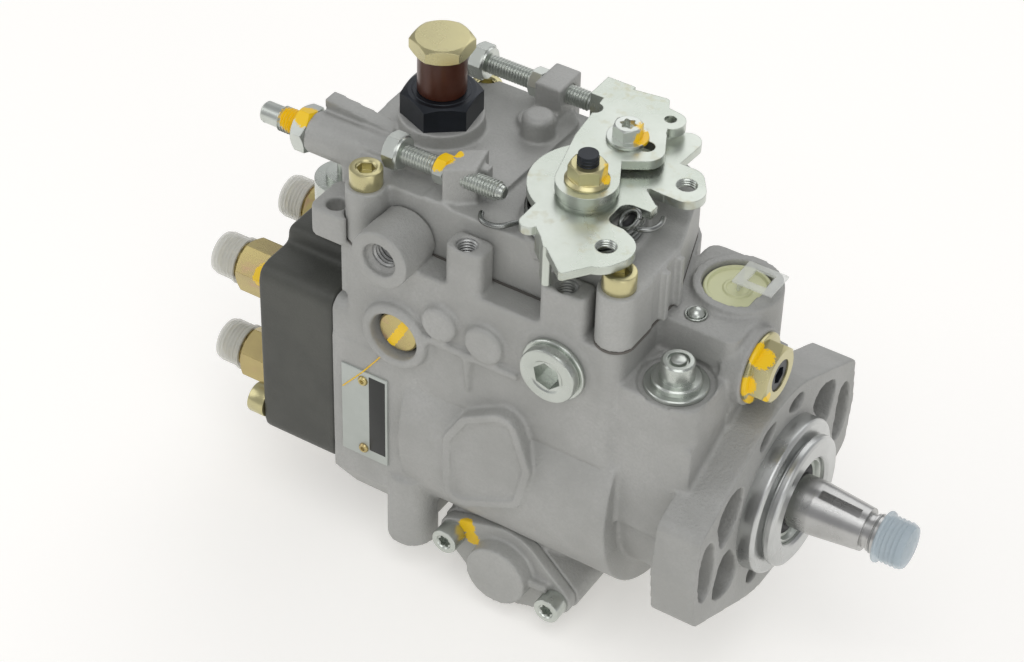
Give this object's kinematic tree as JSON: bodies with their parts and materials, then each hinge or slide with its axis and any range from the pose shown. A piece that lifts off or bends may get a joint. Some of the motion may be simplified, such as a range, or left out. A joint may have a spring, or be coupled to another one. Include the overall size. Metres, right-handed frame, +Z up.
{
  "type": "diesel injection pump",
  "caption": "Distributor diesel injection pump with taper drive shaft, flange, governor cover, throttle levers, outlets and working inner parts.",
  "frame": {"origin": "on the drive shaft's axis, in the mounting face of the flange", "axes": "+X out along the drive shaft, +Z up through the governor cover, -Y the side with the plate and plugs"},
  "size_m": [0.2361, 0.116, 0.1747],
  "materials": {
    "cast_housing": "sand cast, matt",
    "cast_cover": "cast, matt",
    "dark_head": "machined, dark oxide, oiled",
    "zinc_steel": "bright zinc plate",
    "gold_steel": "yellow chromate plate",
    "black_steel": "black oxide",
    "brown_sleeve": "dark brown, satin",
    "clear_cap": "milky, see-through",
    "cream_plastic": "moulded",
    "seal_rubber": "matt",
    "bare_plate": "satin, bare",
    "ground_steel": "ground",
    "bronze": "turned",
    "gasket_board": "pressed board"
  },
  "bodies": {
    "pump": {"pump_housing": "cast_housing", "governor_cover": "cast_cover", "cover_gasket": "gasket_board", "cover_screws": "gold_steel", "distributor_head": "dark_head", "head_screws": "gold_steel", "central_plug": "zinc_steel", "valve_holders": "gold_steel", "valve_caps": "clear_cap", "shutoff_solenoid": "zinc_steel", "nameplate": "bare_plate", "nameplate_rivets": "gold_steel", "side_plug": "zinc_steel", "plug_washers": "zinc_steel", "stub_plug": "zinc_steel", "ball_plug": "ground_steel", "inlet_plug": "cream_plastic", "governor_shaft": "black_steel", "governor_locknut": "gold_steel", "pivot_plugs": "gold_steel", "timing_covers": "cast_cover", "timing_screws": "zinc_steel", "timing_spring": "ground_steel", "shaft_seal": "seal_rubber", "shaft_bushing": "bronze", "cam_ring": "ground_steel", "pump_plate": "ground_steel", "full_load_screw": "zinc_steel", "full_load_locknut": "zinc_steel", "overflow_union": "black_steel", "overflow_sleeve": "brown_sleeve", "overflow_bolt": "gold_steel", "stop_screws": "zinc_steel", "stop_nuts": "zinc_steel", "governor_spring": "ground_steel", "return_spring": "ground_steel"},
    "shaft": {"drive_shaft": "ground_steel", "shaft_cap": "clear_cap", "drive_gear": "ground_steel", "cross_disc": "ground_steel", "cam_plate": "ground_steel", "distributor_plunger": "ground_steel", "pump_rotor": "ground_steel", "pump_vanes": "ground_steel"},
    "carrier": {"flyweight_carrier": "ground_steel"},
    "weight_1": {"flyweight_1": "ground_steel"},
    "weight_2": {"flyweight_2": "ground_steel"},
    "weight_3": {"flyweight_3": "ground_steel"},
    "weight_4": {"flyweight_4": "ground_steel"},
    "sleeve": {"governor_sleeve": "ground_steel"},
    "lever": {"governor_lever": "ground_steel"},
    "collar": {"control_collar": "ground_steel"},
    "piston": {"timing_piston": "ground_steel"},
    "ring": {"roller_ring": "ground_steel", "rollers": "ground_steel"},
    "throttle": {"throttle_shaft": "black_steel", "control_lever": "zinc_steel", "adjust_lever": "zinc_steel", "lever_nut": "gold_steel", "lever_screw": "zinc_steel"}
  },
  "joints": [
    {"name": "shaft_spin", "type": "hinge", "parent": "pump", "child": "shaft", "pos_m": [0, 0, 0], "axis": [1, 0, 0], "continuous": true},
    {"name": "governor_spin", "type": "hinge", "parent": "pump", "child": "carrier", "pos_m": [-0.06, -0.007, 0.05052], "axis": [1, 0, 0], "continuous": true},
    {"name": "sleeve_slide", "type": "slide", "parent": "pump", "child": "sleeve", "axis": [-1, 0, 0], "range_m": [0, 0.0026]},
    {"name": "governor_lever_swing", "type": "hinge", "parent": "pump", "child": "lever", "pos_m": [-0.1095, -0.007, 0.038], "axis": [0, -1, 0], "range_deg": [0, 12.2]},
    {"name": "collar_slide", "type": "slide", "parent": "pump", "child": "collar", "axis": [1, 0, 0], "range_m": [0, 0.0062]},
    {"name": "timing_slide", "type": "slide", "parent": "pump", "child": "piston", "axis": [0, 1, 0], "range_m": [-0.004, 0.004]},
    {"name": "roller_ring_swing", "type": "hinge", "parent": "pump", "child": "ring", "pos_m": [-0.073, 0, 0], "axis": [1, 0, 0], "range_deg": [-5.6, 5.6]},
    {"name": "throttle_swing", "type": "hinge", "parent": "pump", "child": "throttle", "pos_m": [-0.0625, -0.014, 0.09], "axis": [0, 0, 1], "range_deg": [-37, 0], "stiffness_Nm_per_rad": 0.05},
    {"name": "flyweight_1_swing", "type": "hinge", "parent": "carrier", "child": "weight_1", "pos_m": [-0.0695, -0.007, 0.06352], "axis": [0, 1, 0], "range_deg": [0, 20]},
    {"name": "flyweight_2_swing", "type": "hinge", "parent": "carrier", "child": "weight_2", "pos_m": [-0.0695, -0.02, 0.05052], "axis": [0, 0, 1], "range_deg": [0, 20]},
    {"name": "flyweight_3_swing", "type": "hinge", "parent": "carrier", "child": "weight_3", "pos_m": [-0.0695, -0.007, 0.03752], "axis": [0, -1, 0], "range_deg": [0, 20]},
    {"name": "flyweight_4_swing", "type": "hinge", "parent": "carrier", "child": "weight_4", "pos_m": [-0.0695, 0.006, 0.05052], "axis": [0, 0, -1], "range_deg": [0, 20]}
  ],
  "couplings": [
    {"joint": "governor_spin", "follows": "shaft_spin", "ratio": -1.6154},
    {"joint": "flyweight_1_swing", "follows": "sleeve_slide", "rad_per_m": 133.33},
    {"joint": "flyweight_2_swing", "follows": "sleeve_slide", "rad_per_m": 133.33},
    {"joint": "flyweight_3_swing", "follows": "sleeve_slide", "rad_per_m": 133.33},
    {"joint": "flyweight_4_swing", "follows": "sleeve_slide", "rad_per_m": 133.33},
    {"joint": "governor_lever_swing", "follows": "sleeve_slide", "rad_per_m": 79.889},
    {"joint": "collar_slide", "follows": "sleeve_slide", "ratio": 2.3168},
    {"joint": "roller_ring_swing", "follows": "timing_slide", "rad_per_m": 23.809}
  ]
}
